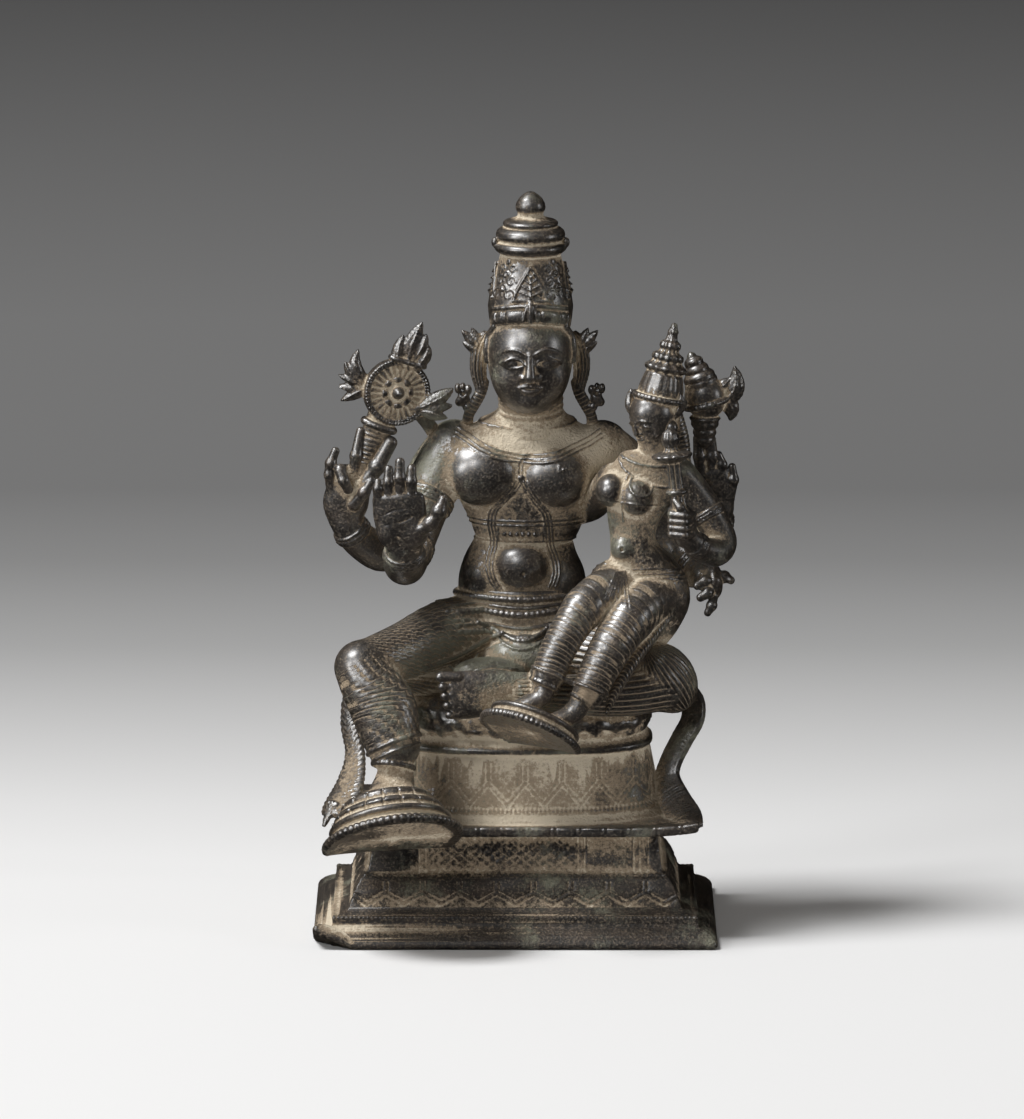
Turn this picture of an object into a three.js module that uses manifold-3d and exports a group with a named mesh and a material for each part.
// A small copper alloy temple image, cast in one piece by the lost wax method: a four-armed god sits at
// ease on a drum-shaped seat with his consort on his left thigh, and seat and plinth are part of the cast.
// Millimetres, +Z up, the front faces -Y. The origin is the middle of the plinth's underside.
import * as THREE from "three";
import { mergeVertices } from "three/addons/utils/BufferGeometryUtils.js";
import Module from "manifold-3d";

// Driving dimensions of the whole casting
const TOTAL_HEIGHT = 140;
const PLINTH_HALF_WIDTH = 38.2;
const PLINTH_HALF_DEPTH = 26;
const PLATE_Z = 20.2;
const SEAT_TOP_Z = 44;

// Finishes of the alloy, as seen from a step away
const BRONZE = new THREE.MeshStandardMaterial({ color: 0x4a3c30, roughness: 0.42, metalness: 0.85 });

// How many sides each kind of form gets
const TRUNK_SIDES = 12;
const THIGH_SIDES = 10;
const LIMB_SIDES = 7;
const FINGER_SIDES = 4;
const LEAF_SIDES = 4;
const SHIN_RIBS = 4;
const CONSORT_RIBS = 3;
const EGG_DETAIL = [8, 5];

// How deep the clinging cloth's flutes and ribs go
const THIGH_FLUTES = 0.35;
const SHIN_SWELL = 0.3;
const CONSORT_SWELL = 0.2;

// A rounded limb end: how far the last ring goes past its station, and how wide it stays
const DOME_SHARE = 0.62;
const DOME_RADIUS = 0.74;

const wasm = await Module();
wasm.setup();

// Joining and placing

function solidOf(geometry) {
  const bare = geometry.index ? geometry.toNonIndexed() : geometry.clone();
  for (const name of Object.keys(bare.attributes)) if (name !== "position") bare.deleteAttribute(name);
  const merged = mergeVertices(bare, 1e-4);
  const mesh = new wasm.Mesh({
    numProp: 3,
    vertProperties: merged.attributes.position.array,
    triVerts: new Uint32Array(merged.index.array),
  });
  return new wasm.Manifold(mesh);
}

function geometryOf(solid) {
  const mesh = solid.getMesh();
  const position = new Float32Array(mesh.numVert * 3);
  for (let i = 0; i < mesh.numVert; i++)
    position.set(mesh.vertProperties.subarray(i * mesh.numProp, i * mesh.numProp + 3), i * 3);
  return new THREE.BufferGeometry()
    .setAttribute("position", new THREE.BufferAttribute(position, 3))
    .setIndex(new THREE.BufferAttribute(new Uint32Array(mesh.triVerts), 1));
}

const joined = (solids) => solids.reduce((all, one) => all.add(one));

// Closes a stack of rings of equal length into one body, each end fanned from its own middle point.
function skin(rings) {
  const sides = rings[0].length;
  const middle = (ring) => ring.reduce((sum, p) => sum.add(p), new THREE.Vector3()).divideScalar(sides);
  const points = rings.flat();
  const first = points.length;
  points.push(middle(rings[0]), middle(rings.at(-1)));
  const faces = [];
  for (let r = 0; r + 1 < rings.length; r++)
    for (let s = 0; s < sides; s++) {
      const [a, b] = [r * sides + s, r * sides + ((s + 1) % sides)];
      faces.push(a, b, b + sides, a, b + sides, a + sides);
    }
  const top = (rings.length - 1) * sides;
  for (let s = 0; s < sides; s++) {
    const next = (s + 1) % sides;
    faces.push(first, next, s, first + 1, top + s, top + next);
  }
  const geometry = new THREE.BufferGeometry().setFromPoints(points);
  geometry.setIndex(faces);
  return solidOf(geometry);
}

// Forms

// A limb through stations [x, y, z, half width, half thickness]. The half width lies along `wide`, as far
// as the limb's own direction allows. `domes` rounds the two ends, `flutes` cuts alternate sides back.
function limb(stations, { sides = LIMB_SIDES, wide = [1, 0, 0], flutes = 0, domes = [0, 1] } = {}) {
  const places = stations.map(([x, y, z]) => new THREE.Vector3(x, y, z));
  const wideways = new THREE.Vector3(...wide);
  const last = places.length - 1;
  const sizeAt = (i) => [stations[i][3], stations[i][4] ?? stations[i][3]];
  const alongAt = (i) => places[Math.min(i + 1, last)].clone().sub(places[Math.max(i - 1, 0)]).normalize();
  const ringAt = (centre, along, across, through) => {
    const a = wideways.clone().addScaledVector(along, -wideways.dot(along)).normalize();
    const b = along.clone().cross(a);
    return Array.from({ length: sides }, (_, s) => {
      const turn = (2 * Math.PI * s) / sides;
      const cut = s % 2 ? flutes : 0;
      return centre
        .clone()
        .addScaledVector(a, (across - cut) * Math.cos(turn))
        .addScaledVector(b, (through - cut) * Math.sin(turn));
    });
  };
  const dome = (i, way, share) => {
    if (!share) return [];
    const [across, through] = sizeAt(i);
    const along = alongAt(i);
    const reach = Math.min(across, through) * DOME_SHARE * way * share;
    const centre = places[i].clone().addScaledVector(along, reach);
    return [ringAt(centre, along, across * DOME_RADIUS, through * DOME_RADIUS)];
  };
  const rings = places.map((place, i) => ringAt(place, alongAt(i), ...sizeAt(i)));
  return skin([...dome(0, -1, domes[0]), ...rings, ...dome(last, 1, domes[1])]);
}

// An egg-shaped mass, turned about X, Y and Z in degrees.
function egg([x, y, z], [rx, ry, rz], detail = EGG_DETAIL, turn = [0, 0, 0]) {
  const geometry = new THREE.SphereGeometry(1, ...detail);
  const [tx, ty, tz] = turn.map(THREE.MathUtils.degToRad);
  geometry.applyMatrix4(
    new THREE.Matrix4().compose(
      new THREE.Vector3(x, y, z),
      new THREE.Quaternion().setFromEuler(new THREE.Euler(tx, ty, tz, "XYZ")),
      new THREE.Vector3(rx, ry, rz),
    ),
  );
  return solidOf(geometry);
}

// A turned form: a profile of [radius, height] about an axis that points along `up` from `base`.
function turned(profile, base, up = [0, 0, 1], segments = 16) {
  const outline = profile.map(([r, h]) => new THREE.Vector2(r, h));
  const geometry = new THREE.LatheGeometry(outline, segments);
  const axis = new THREE.Vector3(...up).normalize();
  geometry.applyQuaternion(new THREE.Quaternion().setFromUnitVectors(new THREE.Vector3(0, 1, 0), axis));
  geometry.translate(...base);
  return solidOf(geometry);
}

// A flame or leaf: a flat limb that swells and runs out to a point, bowed sideways by `bow`.
const LEAF_SWELLS = [
  // [share of the length, share of the width]
  [0, 0.62],
  [0.35, 1],
  [0.68, 0.75],
  [1, 0.14],
];
const LEAF_THINNEST = 0.35;

function leaf(root, tip, width, thickness, bow = [0, 0, 0]) {
  const stations = LEAF_SWELLS.map(([share, swell]) => [
    ...root.map((value, i) => value + (tip[i] - value) * share + bow[i] * Math.sin(Math.PI * share)),
    width * swell,
    thickness * Math.max(swell, LEAF_THINNEST),
  ]);
  return limb(stations, { sides: LEAF_SIDES, domes: [0, 0] });
}

// Ribs across a stretch of cloth: evenly spaced rings between the stations, every second one swollen.
function ribbed(stations, count, swell) {
  return Array.from({ length: count * 2 + 1 }, (_, i) => {
    const place = (i / (count * 2)) * (stations.length - 1);
    const k = Math.min(Math.floor(place), stations.length - 2);
    const at = stations[k].map((value, n) => value + (stations[k + 1][n] - value) * (place - k));
    const more = i % 2 ? swell : 0;
    return [at[0], at[1], at[2], at[3] + more, at[4] + more];
  });
}

// Plinth: stepped courses on a spreading foot, with a waist under the seat plate

const PLINTH_PROFILE = [
  // [inset from the foot, height]
  [9, 0],
  [0.5, 0],
  [0, 0.7],
  [0.1, 1.7],
  [2.3, 3.4],
  [3.5, 3.6],
  [3.9, 5.1],
  [4.8, 5.9],
  [6.6, 6.3],
  [6.9, 7.2],
  [7.8, 9.8],
  [9.5, 12.2],
  [10.4, 12.5],
  [10.9, 15.5],
  [11.2, 20.6],
];
const CORNER_CUT = 0.9;
const FOLD_START = 7; // how far from the front left corner the foot's edge starts to bend up
const FOLD_RISE = 0.52;
const FOLD_LEVELS = [1, 4]; // the courses that bend with it

function plinth() {
  const rings = PLINTH_PROFILE.map(([inset, z], level) => {
    const [hx, hy] = [PLINTH_HALF_WIDTH - inset, PLINTH_HALF_DEPTH - inset];
    const outline = [
      [hx, -hy + CORNER_CUT],
      [hx, hy - CORNER_CUT],
      [hx - CORNER_CUT, hy],
      [CORNER_CUT - hx, hy],
      [-hx, hy - CORNER_CUT],
      [-hx, FOLD_START - hy],
      [-hx, CORNER_CUT - hy],
      [CORNER_CUT - hx, -hy],
      [FOLD_START - hx, -hy],
      [hx - CORNER_CUT, -hy],
    ];
    return outline.map(([x, y]) => {
      const past = FOLD_START - (x + hx) - (y + hy);
      const bends = level >= FOLD_LEVELS[0] && level <= FOLD_LEVELS[1];
      const lift = bends ? Math.max(past, 0) * FOLD_RISE : 0;
      return new THREE.Vector3(x, y, z + lift);
    });
  });
  return skin(rings);
}

// Seat: a thin plate with its front corners turned up, the drum on it, and the cushion over the drum

const PLATE_FRONT_HALF = 35.2;
const PLATE_BACK_HALF = 32.4;
const PLATE_HALF_DEPTH = 20.4;
const PLATE_THICK = 1.9;
const PLATE_CURL = 1.5;
const PLATE_SIDE_POINTS = 3;
const PLATE_HOLLOW = 0.05; // how far each side curves in between its corners
const PLATE_BEVEL = 0.5;
const PLATE_INNER = { halfWidth: 26, halfDepth: 14, proud: 0.2 };

function seatPlate() {
  const outline = [];
  const corners = [
    [1, -1],
    [1, 1],
    [-1, 1],
    [-1, -1],
  ];
  corners.forEach(([cx, cy], i) => {
    const [nx, ny] = corners[(i + 1) % corners.length];
    for (let s = 0; s < PLATE_SIDE_POINTS; s++) {
      const share = s / PLATE_SIDE_POINTS;
      const along = 1 - 2 * share;
      const hollow = 1 - PLATE_HOLLOW * (1 - along * along);
      const x = (cx + (nx - cx) * share) * (cx === nx ? hollow : 1);
      const y = (cy + (ny - cy) * share) * (cy === ny ? hollow : 1);
      outline.push([x, y, y < 0 ? along ** 6 : 0]);
    }
  });
  const ring = (z, grow) =>
    outline.map(([x, y, corner]) => {
      const half = (PLATE_FRONT_HALF + PLATE_BACK_HALF) / 2 - (y * (PLATE_FRONT_HALF - PLATE_BACK_HALF)) / 2;
      return new THREE.Vector3(x * (half + grow), y * (PLATE_HALF_DEPTH + grow), z + corner * PLATE_CURL);
    });
  const { halfWidth, halfDepth, proud } = PLATE_INNER;
  const inner = (z) => outline.map(([x, y]) => new THREE.Vector3(x * halfWidth, y * halfDepth, z));
  return skin([
    inner(PLATE_Z - proud),
    ring(PLATE_Z, -PLATE_BEVEL),
    ring(PLATE_Z + PLATE_THICK / 2, 0),
    ring(PLATE_Z + PLATE_THICK, -PLATE_BEVEL),
    inner(PLATE_Z + PLATE_THICK + proud),
  ]);
}

const DRUM_CENTRE = [1.4, 2.4];
const DRUM_PROFILE = [
  // [half width, height]; the half depth is DRUM_SHORTER less
  [27.6, PLATE_Z + 0.6],
  [28.2, 23.4],
  [27, 24.6],
  [24.2, 34.6],
  [24.8, 35.6],
  [23.4, 37.2],
  [24.6, 39],
  [24.4, 41.4],
  [22.2, 43.8],
  [14, SEAT_TOP_Z + 0.8],
];
const DRUM_SHORTER = 9.3;
const DRUM_SQUARENESS = 0.72;
const DRUM_SIDES = 14;

function seatDrum() {
  const rings = DRUM_PROFILE.map(([half, z]) =>
    Array.from({ length: DRUM_SIDES }, (_, s) => {
      const turn = (2 * Math.PI * (s + 0.5)) / DRUM_SIDES;
      const [c, n] = [Math.cos(turn), Math.sin(turn)];
      const x = Math.sign(c) * Math.abs(c) ** DRUM_SQUARENESS * half;
      const y = Math.sign(n) * Math.abs(n) ** DRUM_SQUARENESS * (half - DRUM_SHORTER);
      return new THREE.Vector3(DRUM_CENTRE[0] + x, DRUM_CENTRE[1] + y, z);
    }),
  );
  return skin(rings);
}

// Sash ends that fall at both sides of the seat and spread on the plate's corners

function rightHandSash() {
  return limb(
    [
      [28.5, 4, 44.5, 2.2, 1.4],
      [33.2, 1.5, 43, 2.6, 1.5],
      [33.6, -0.5, 39.5, 2.8, 1.4],
      [30.6, -1.5, 34, 2.6, 1.4],
      [28.9, -3, 29, 2.6, 1.4],
      [30, -7.5, 24.8, 3.2, 1.4],
      [32.6, -13.5, 22.4, 3.6, 1.2],
      [34.4, -18.4, 21.8, 1.4, 0.9],
    ],
    { wide: [0.55, -0.83, 0], sides: 6, domes: [0, 0.5] },
  );
}

function leftHandSash() {
  return limb(
    [
      [-24, 10, 44.5, 2.2, 1.4],
      [-30.2, 8.5, 43, 2.6, 1.4],
      [-31.6, 6.5, 37, 2.6, 1.3],
      [-30.4, 3.5, 31, 2.6, 1.3],
      [-31.2, 0, 27, 3.4, 1.3],
      [-33.6, -4.5, 22.6, 4.4, 1.2],
      [-35, -7.6, 19.6, 3.4, 0.8],
    ],
    { wide: [0.72, -0.69, 0], sides: 6, domes: [0, 0.5] },
  );
}

// Lotus rests under the hanging feet: turned, leaning back, and hollowed a little underneath

const GOD_REST = { centre: [-22.9, -27.5, 20.8], up: [-0.15, 0.51, 0.85] };
const CONSORT_REST = { centre: [2.6, -23.2, 40.4], up: [0.36, 0.44, 0.82] };

function godRest() {
  const profile = [
    [0, 1],
    [12, 0],
    [13.3, 0.8],
    [12.6, 1.7],
    [11.2, 2.6],
    [11.5, 5],
    [9.5, 6.2],
    [8.7, 8.6],
    [0, 9.8],
  ];
  return turned(profile, GOD_REST.centre, GOD_REST.up);
}

function consortRest() {
  const profile = [
    [0, 0.8],
    [9.1, 0],
    [10.1, 0.8],
    [9.4, 1.6],
    [8.2, 2.2],
    [8.2, 3.4],
    [0, 4.6],
  ];
  return turned(profile, CONSORT_REST.centre, CONSORT_REST.up, 14);
}

// The god: trunk, legs, four arms and head

function godTrunk() {
  const trunk = [
    [1.4, 7.2, 44, 13.2, 9.2],
    [1.3, 6.8, 53, 13.2, 9.2],
    [1.3, 6.3, 60.2, 12.6, 8],
    [1.3, 6.2, 61.2, 13.3, 8.7],
    [1.3, 6.1, 62.4, 12.2, 7.5],
    [1.3, 6, 66.5, 12, 7],
    [1.8, 6, 73.6, 8.9, 6],
    [1.9, 5.9, 76, 10.6, 6.8],
    [2.1, 5.8, 78.5, 11.4, 6.8],
    [2.3, 5.7, 84.2, 14.6, 7.2],
    [2.6, 6, 88.6, 15, 6.6],
    [2.8, 6.4, 92, 12.4, 5.6],
    [2.9, 6.5, 94.4, 7.6, 5.4],
    [3, 6.2, 97, 6.1, 5.6],
    [3, 5.8, 101, 5.9, 5.8],
  ];
  return joined([
    limb(trunk, { sides: TRUNK_SIDES, domes: [0, 0] }),
    egg([-5.6, 2, 85.4], [6.8, 4.6, 6.3]),
    egg([7.6, 2, 85], [6.7, 4.6, 6.3]),
    egg([0.7, 1.8, 68], [5.8, 4, 5.1]),
  ]);
}

function godRightLeg() {
  const thigh = [
    [-2, 7, 54.4, 7.6, 7.4],
    [-12, 0.5, 55.3, 6.5, 6.3],
    [-20.5, -8, 54.9, 5.3, 5.1],
    [-28.6, -15.4, 54, 4.5, 4.5],
  ];
  const shin = [
    [-29.4, -16.4, 53.6, 4.7, 4.7],
    [-27.4, -17.8, 50, 5.5, 5],
    [-25, -19, 45.6, 6.2, 5],
    [-23.7, -20.2, 41.4, 5.7, 4.8],
    [-22.6, -21.2, 37.4, 4.6, 4.3],
  ];
  const foot = [
    [-22.6, -21.4, 33.2, 3.9, 3.4],
    [-23, -24.6, 31.6, 4.8, 2.2],
    [-23.2, -28.4, 31.4, 5.2, 1.3],
  ];
  return joined([
    limb(thigh, { sides: THIGH_SIDES, flutes: THIGH_FLUTES, wide: [0, 0, 1], domes: [0, 0.6] }),
    limb(ribbed(shin, SHIN_RIBS, SHIN_SWELL), { sides: THIGH_SIDES, domes: [0.9, 0] }),
    limb([[-22.4, -21.4, 39, 3.6], [-22.4, -22, 32, 3.6]], { sides: 7, domes: [0, 0] }),
    limb(foot, { sides: 7, domes: [0, 0.6] }),
    godRest(),
  ]);
}

function godLeftLeg() {
  const fold = [
    [4, 7, 52, 7.4, 7.4],
    [15, 1.5, 51.8, 6.6, 6.6],
    [23, -3, 50, 6.2, 6.4],
    [27.6, -6, 48.8, 5.7, 5.7],
    [29.8, -7.4, 48.2, 4.4, 4.2],
  ];
  const calf = [
    [27, -8, 47, 4.6, 4.8],
    [16, -12, 46.4, 4.2, 4.4],
    [2.4, -14.6, 47.4, 3, 3],
  ];
  const foot = [
    [4.6, -14.6, 47.6, 3.2, 2.2],
    [-2.4, -15.6, 47.4, 4.2, 2],
    [-8, -16.2, 47.2, 4.7, 1.7],
    [-11.4, -16.4, 47, 4.5, 1.3],
  ];
  const toes = Array.from({ length: 5 }, (_, i) => {
    const z = 50.4 - i * 1.75;
    return limb([[-10.8, -16.4, z, 0.95], [i * 0.5 - 14.1, -16.6, z, 0.85]], { sides: FINGER_SIDES });
  });
  return joined([
    limb(fold, { sides: THIGH_SIDES, flutes: THIGH_FLUTES, wide: [0, 0, 1] }),
    limb(calf, { wide: [0, 0, 1], domes: [0, 0] }),
    limb(foot, { wide: [0, 0, 1], sides: 8, domes: [0, 0.4] }),
    ...toes,
  ]);
}

// A hand is a flat palm and its fingers, each given as a path that ends in a tip.
function hand(palm, wide, fingers) {
  return joined([
    limb(palm, { wide, sides: 6, domes: [0, 0.4] }),
    ...fingers.map((path) => limb(path, { sides: FINGER_SIDES, wide })),
  ]);
}

function godFrontRightArm() {
  const arm = [
    [-12.6, 6, 90.6, 5.6],
    [-15, 3.8, 85, 5.1],
    [-18, -0.6, 76.4, 4.1],
    [-20.4, -4.4, 70.6, 3.9],
    [-20.9, -9, 71.2, 3.9],
    [-20.9, -13.4, 74.4, 3.8, 3.4],
  ];
  const palm = [
    [-20.9, -13.6, 74, 3.9, 3],
    [-21.2, -16.2, 78.6, 5, 2.2],
    [-21.8, -17.2, 83.4, 5.2, 1.8],
    [-22, -17.4, 85.4, 4.9, 1.5],
  ];
  const thumb = [
    [-20.2, -17.4, 75.4, 2],
    [-16, -18.4, 80.2, 1.8],
    [-14.3, -18.6, 82.4, 1.3],
    [-13.5, -18.6, 85.2, 0.9],
  ];
  return joined([
    limb(arm, { domes: [1, 0] }),
    hand(palm, [1, 0, 0], [
      [[-25.9, -17.4, 84, 0.95], [-25.9, -17.8, 88.4, 0.8]],
      [[-23.9, -17.6, 85, 1.1], [-23.8, -18.2, 90.6, 0.9]],
      [[-21.7, -17.6, 85, 1.2], [-21.8, -18.2, 92.2, 0.95]],
      [[-19.3, -17.4, 85, 1.1], [-19.1, -17.8, 91.2, 0.85]],
      thumb,
    ]),
  ]);
}

function godRearRightArm() {
  const arm = [
    [-13, 10.6, 90.6, 4.6],
    [-18, 10.6, 81, 4],
    [-23.6, 7.8, 69.6, 3.9],
    [-28.8, 4.4, 72.4, 3.5],
    [-32.2, 2.2, 76.6, 3.3],
  ];
  const palm = [
    [-32.5, 2.1, 76, 3.3, 2.8],
    [-32, 1.4, 80.4, 4.6, 2.6],
    [-31, 0.8, 84.2, 4.3, 2.2],
    [-30.4, 0.8, 87.2, 3.2, 1.6],
  ];
  return joined([
    limb(arm, { domes: [1, 0] }),
    hand(palm, [1, 0, 0], [
      [[-34.6, 0.6, 83, 1.4], [-34.9, 0.2, 88, 1.1], [-34.3, 0, 91, 0.8]],
      [[-32.6, 0.4, 85, 1.2], [-33.2, -1.2, 87.6, 1.2]],
      [[-30.4, 0.4, 86, 1.3], [-30, 0.6, 94, 1]],
      [[-28.8, -0.2, 84.6, 1.7], [-23.8, 0, 92, 1.4]],
    ]),
  ]);
}

const WHEEL_CENTRE = [-22.8, 3.2, 102];
const WHEEL_FACING = [0.2, -0.98, 0.02];
const WHEEL_RADIUS = 6.3;
const WHEEL_THICK = 3.6;
const FLAME_Y = 1.4;

function wheel() {
  const disc = [
    [0, 0],
    [WHEEL_RADIUS - 0.3, 0],
    [WHEEL_RADIUS, WHEEL_THICK - 0.5],
    [WHEEL_RADIUS - 0.7, WHEEL_THICK],
    [WHEEL_RADIUS - 1.5, WHEEL_THICK - 0.6],
    [1.5, WHEEL_THICK - 0.6],
    [0, WHEEL_THICK + 1.2],
  ];
  const stem = [
    [-28.4, 0.6, 86, 1.2],
    [-27.2, 0.9, 91.6, 1.7, 1.5],
    [-25.4, FLAME_Y, 97, 2.8, 1.6],
  ];
  const [x, , z] = WHEEL_CENTRE;
  const upright = (dx, dz) => [x + dx, FLAME_Y, z + dz];
  return joined([
    turned(disc, WHEEL_CENTRE, WHEEL_FACING, 14),
    limb(stem, { sides: 6, domes: [0, 0] }),
    leaf(upright(1.6, 4.6), upright(4.3, 13.4), 2.9, 1.7),
    leaf(upright(-4.8, -0.6), upright(-7.2, 8), 1.9, 1.3, [-2.6, 0, 0]),
    leaf(upright(-4.6, 1.2), upright(-9.6, -1.4), 1.6, 1.2),
    leaf(upright(5.2, -2.8), upright(11, 0.6), 2, 1.3, [0.5, 0, -0.9]),
    limb([[-18.6, FLAME_Y, 98.6, 1.8, 1.2], [-15, 8.6, 92, 1.4, 1.4]], { sides: 6, domes: [0, 0] }),
  ]);
}

function godFrontLeftArm() {
  const arm = [
    [17.6, 6.2, 90.8, 5],
    [23.4, 8, 82.6, 4.5],
    [29.4, 7.6, 74, 4.4],
    [33, 4, 69, 3.8],
    [36, -1, 67, 3, 2.6],
  ];
  const palm = [
    [35.4, -0.2, 67, 2.8, 2.3],
    [37.4, -2.6, 66.8, 3.3, 2.1],
    [37.6, -4.2, 65.6, 3.1, 1.8],
  ];
  return joined([
    limb(arm, { domes: [1, 0] }),
    hand(palm, [0, 0, 1], [
      [[38.4, -2.6, 67, 1.3], [40.9, -4.6, 66.8, 0.8]],
      [[37.6, -4, 67.2, 1.2], [34.6, -6.4, 66.4, 0.9]],
      [[37.6, -4.4, 65.2, 1.2], [35.2, -6.8, 64.2, 0.9]],
      [[37.8, -4.4, 64, 1.2], [37.3, -6.4, 61.2, 0.85]],
    ]),
  ]);
}

function godRearLeftArm() {
  const arm = [
    [17.6, 10.6, 90.6, 4.6],
    [26, 11.4, 82, 4],
    [35.6, 10.4, 71.4, 3.7],
    [38, 8.4, 75, 3.4],
    [38.6, 6.8, 79, 3],
  ];
  const palm = [
    [38.6, 6.8, 78.6, 3, 2.6],
    [38.4, 6, 82.4, 3.6, 2.4],
    [37.4, 5.4, 86, 3.2, 2],
  ];
  return joined([
    limb(arm, { domes: [1, 0] }),
    hand(palm, [1, 0, 0], [
      [[40.8, 5.4, 81, 1.3], [41.2, 5.2, 86.8, 0.8]],
      [[37.8, 5, 85, 1.4], [37.2, 4.6, 92.4, 1.2]],
      [[35.6, 5, 85, 1.4], [34.8, 4.6, 92.6, 1.2]],
    ]),
  ]);
}

function conch() {
  const foot = [
    [0, 0],
    [2.4, 0],
    [3.3, 3],
    [0, 8],
  ];
  const spire = [
    [0, -2],
    [3.1, 0],
    [1.7, 3.4],
    [0, 5.6],
  ];
  return joined([
    egg([36, 4.2, 101], [4.5, 4, 4.8], [9, 6], [0, -14, 0]),
    turned(foot, [35.9, 4.6, 91.4], [0.02, 0, 1], 8),
    turned(spire, [35, 4.2, 104], [-0.34, 0, 0.94], 8),
    leaf([38.6, 4.4, 99], [41.4, 4.4, 106.2], 2, 1.4, [1.6, 0, -0.4]),
    leaf([38.6, 4.4, 101], [40.8, 4.4, 96.2], 1.6, 1.2, [1.2, 0, 0]),
  ]);
}

const HEAD = [2.8, 3.2, 107.6];
const CROWN_BASE = [2.9, 4.2, 114.4];
const CROWN_HEIGHT = TOTAL_HEIGHT - CROWN_BASE[2];
const CROWN_PROFILE = [
  // [radius, height over the crown's base]
  [0, -3],
  [7.6, -0.6],
  [8.6, 2.2],
  [7.9, 3.6],
  [7.6, 7],
  [6.8, 10],
  [5.6, 13.6],
  [7.1, 15.8],
  [6, 17.8],
  [4.6, 19.6],
  [2, 20.7],
  [2.4, 22.6],
  [1.5, 24.8],
  [0, CROWN_HEIGHT],
];

function godEar(side) {
  const [x, y, z] = HEAD;
  const at = (out, back, up) => [x + side * out, y + back, z + up];
  const fan = [
    [11.4, 6.6],
    [12.4, 4.6],
    [11.8, 2.6],
  ];
  const ribbon = [
    [...at(7.8, 2, 4), 1.6, 1.5],
    [...at(8.9, 1.8, -2), 1.6, 1.8],
    [...at(9.2, 1.4, -5.6), 1.2, 1.4],
    [...at(11.4, 1.6, -9.4), 1.2, 1.3],
    [...at(11.9, 2.6, -12.8), 1.4],
  ];
  return joined([
    limb(ribbon, { sides: 5, wide: [0, 1, 0], domes: [1, 0] }),
    egg(at(12.2, 1.2, -7), [1.9, 1.5, 2.2], [6, 5]),
    ...fan.map(([out, up]) => leaf(at(7.8, 2.4, 2), at(out, 2.2, up), 1.1, 0.9)),
  ]);
}

function godHead() {
  const [x, y, z] = HEAD;
  const skull = [
    [x, y - 3, z - 7.2, 3.8, 3.8],
    [x, y - 1.6, z - 5, 6.7, 6.2],
    [x, y - 0.6, z - 1.6, 7.8, 7.4],
    [x, y, z + 1.8, 8.4, 8],
    [x, y + 0.4, z + 5.4, 8, 7.6],
    [x, y + 0.8, z + 8.6, 7, 6.8],
  ];
  const halo = [
    [0, 0],
    [7, 0],
    [6.4, 1.8],
    [0, 2.4],
  ];
  return joined([
    limb(skull, { sides: 9, domes: [0.5, 0] }),
    limb([[x, y - 6.6, z + 2.8, 0.7], [x, y - 8.6, z - 1.4, 1.2]], { sides: 4, domes: [0, 0.5] }),
    turned(CROWN_PROFILE, CROWN_BASE, [0, 0, 1], 13),
    turned(halo, [x, y + 7.4, 113], [0, 1, 0], 10),
    godEar(-1),
    godEar(1),
  ]);
}

// The consort: she sits on his left thigh, turned towards him, and holds up a lotus bud

function consortTrunk() {
  const trunk = [
    [24.6, -4, 57, 4.6, 4.4],
    [25.6, -4.4, 60.6, 6.2, 5.6],
    [25.8, -4.8, 64.2, 7.5, 6.2],
    [24.6, -5.4, 68, 6.4, 5.6],
    [22.8, -6.2, 72, 4.8, 4.4],
    [22.2, -6.2, 76, 4.2, 3.8],
    [22.6, -5.6, 81, 5.6, 4],
    [24.4, -4.8, 85.8, 7.2, 3.8],
    [25.3, -4.4, 88.6, 5.6, 3.2],
    [25.5, -4.2, 90.6, 2.6, 2.4],
    [25.8, -4, 94, 2.3, 2.3],
  ];
  return joined([
    limb(trunk, { sides: 9, domes: [0, 0] }),
    egg([17.8, -8.2, 86], [2.9, 3.2, 2.8]),
    egg([22.6, -9, 84.4], [3.5, 3.6, 3.3]),
    egg([20.4, -8.6, 74.2], [2.8, 2.8, 2.9]),
    egg([19, -7.4, 67.2], [5, 4.4, 4.4]),
  ]);
}

function consortLegs() {
  const right = [
    [21.4, -7.4, 64, 5.2, 5],
    [15, -15.6, 63, 4.5, 4.4],
    [11.6, -18.2, 58.6, 4.2, 4.1],
    [8.4, -19.4, 54.4, 3.8, 3.8],
    [6, -20.2, 51.4, 3.6, 3.6],
  ];
  const left = [
    [27, -6, 62.4, 5.6, 5.4],
    [20.8, -15.4, 61.6, 5.1, 5],
    [18.4, -18.4, 56.8, 4.7, 4.6],
    [15.6, -20.2, 52, 4.1, 4],
    [13.6, -21, 48.9, 3.5, 3.4],
  ];
  const foot = (stations) => limb(stations, { sides: 5 });
  const sash = [
    [31.4, -6.4, 64, 1.8, 1.4],
    [26.8, -12, 57.6, 1.6, 1.2],
    [21.6, -17, 51, 1.3, 1.1],
    [17.2, -19.6, 45.6, 0.7, 0.6],
  ];
  return joined([
    limb(ribbed(right, CONSORT_RIBS, CONSORT_SWELL), { domes: [0, 0] }),
    limb(ribbed(left, CONSORT_RIBS, CONSORT_SWELL), { domes: [0, 0] }),
    foot([[6.2, -20.4, 51.6, 2.2], [4.4, -21.4, 48.4, 2.4, 2], [-0.6, -23.4, 46.4, 2.1, 1.2]]),
    foot([[13.2, -21.4, 49, 2.2], [10.6, -22.8, 45.6, 2.4, 2], [5.4, -24.8, 43.8, 2.1, 1.2]]),
    limb(sash, { sides: 6, domes: [0, 0] }),
    consortRest(),
  ]);
}

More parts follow.
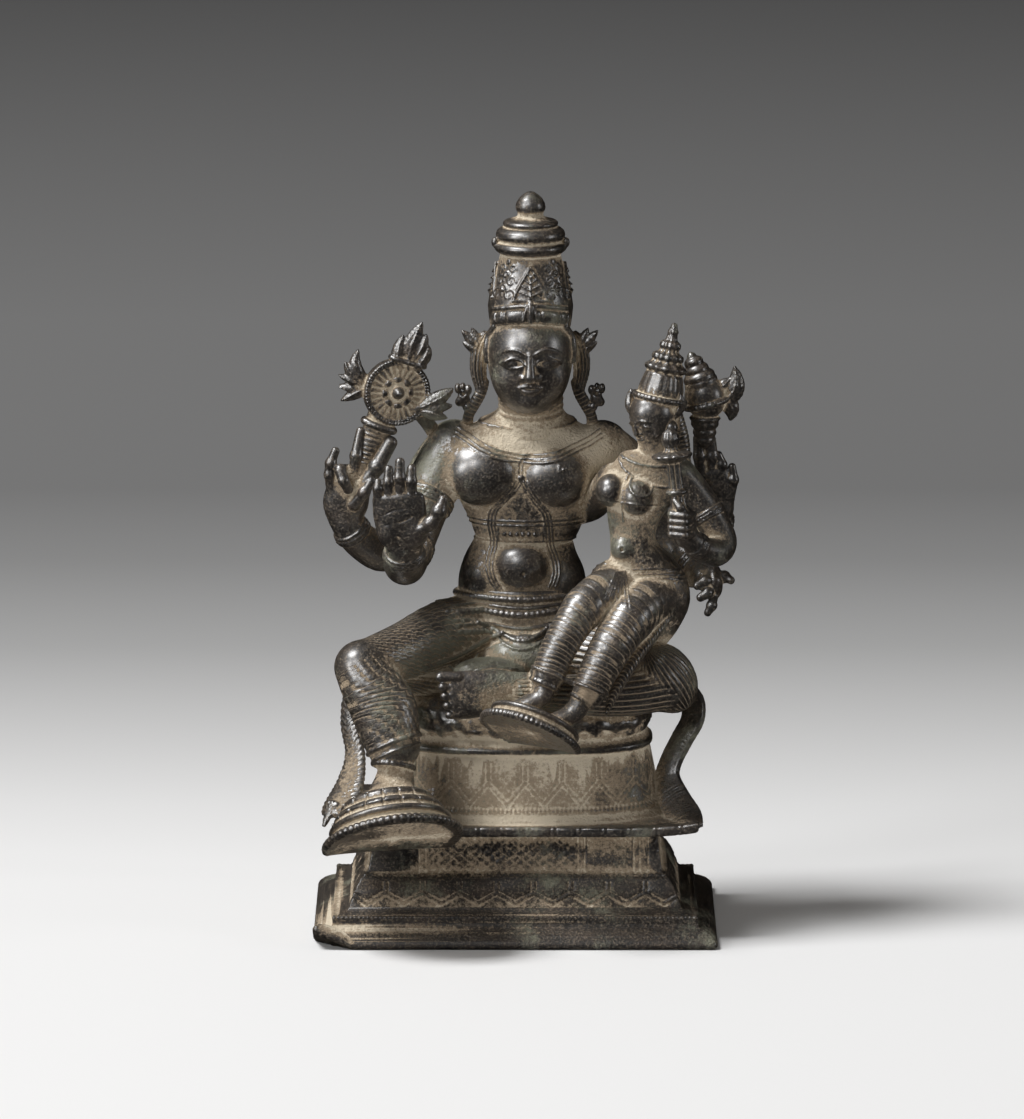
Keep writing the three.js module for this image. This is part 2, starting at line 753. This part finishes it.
function consortArms() {
  const raised = [
    [32, -3.4, 87, 3.4],
    [36.4, -4, 80.4, 3.4],
    [39, -5.2, 74.6, 3.1],
    [36.6, -9.2, 73.6, 2.8],
    [33.4, -12, 75.2, 2.4],
    [31.4, -13.6, 79, 2.3],
  ];
  const embrace = [
    [18.4, -3, 86, 3.1],
    [15.6, 3, 80.6, 3],
    [11, 10, 77, 2.6],
  ];
  const stem = [
    [31.6, -13.6, 76, 2.6, 2.2],
    [30.8, -13.5, 83, 2],
    [29.7, -13.1, 92, 1.7],
  ];
  const bud = [
    [0, -0.6],
    [2.2, -0.5],
    [3.9, 0.5],
    [1.6, 1.4],
    [1.3, 2.6],
    [1.8, 4],
    [0, 5.9],
  ];
  return joined([
    limb(raised, { domes: [1, 0.5] }),
    limb(embrace, { domes: [0.6, 0] }),
    limb(stem, { domes: [0.5, 0] }),
    turned(bud, [29.5, -13.1, 91.8], [-0.1, 0.05, 1], 10),
  ]);
}

function consortHead() {
  const [x, y, z] = [26.3, -3.6, 97.6];
  const gaze = [-0.74, -0.6, -0.3];
  const ahead = (reach, up) => [x + gaze[0] * reach, y + gaze[1] * reach, z + gaze[2] * reach + up];
  const crown = [
    [0, -2],
    [4.8, -0.6],
    [4.6, 2],
    [3.5, 5],
    [3.9, 5.9],
    [2.8, 7.2],
    [3, 8.4],
    [1.9, 9.8],
    [2, 10.9],
    [0.9, 12.8],
    [0, 14.8],
  ];
  return joined([
    egg([x, y, z], [4.5, 4.4, 4.9], [10, 7]),
    egg(ahead(1.4, -1.2), [3.2, 3.2, 3.6]),
    limb([[...ahead(3.6, 1), 0.5], [...ahead(5, -0.8), 0.7]], { sides: 5, domes: [0, 0.5] }),
    turned(crown, [27.2, -2.6, 101.4], [0.2, 0.08, 0.97], 10),
    leaf([23, -1.6, 97.6], [21.8, -1, 103], 1, 0.9, [-0.9, 0, 0]),
    limb([[29.6, -1.6, 97, 1.4], [31.8, -1.6, 89, 1.4]], { sides: 6, domes: [0, 0] }),
  ]);
}

// The whole casting: every form is fused, as wax is before the mould

const casting = joined([
  plinth(),
  seatPlate(),
  seatDrum(),
  rightHandSash(),
  leftHandSash(),
  godTrunk(),
  godRightLeg(),
  godLeftLeg(),
  godFrontRightArm(),
  godRearRightArm(),
  wheel(),
  godFrontLeftArm(),
  godRearLeftArm(),
  conch(),
  godHead(),
  consortTrunk(),
  consortLegs(),
  consortArms(),
  consortHead(),
]);

const group = new THREE.Group();
const mesh = new THREE.Mesh(geometryOf(casting), BRONZE);
mesh.name = "deity_group_with_plinth";
group.add(mesh);

export default group;
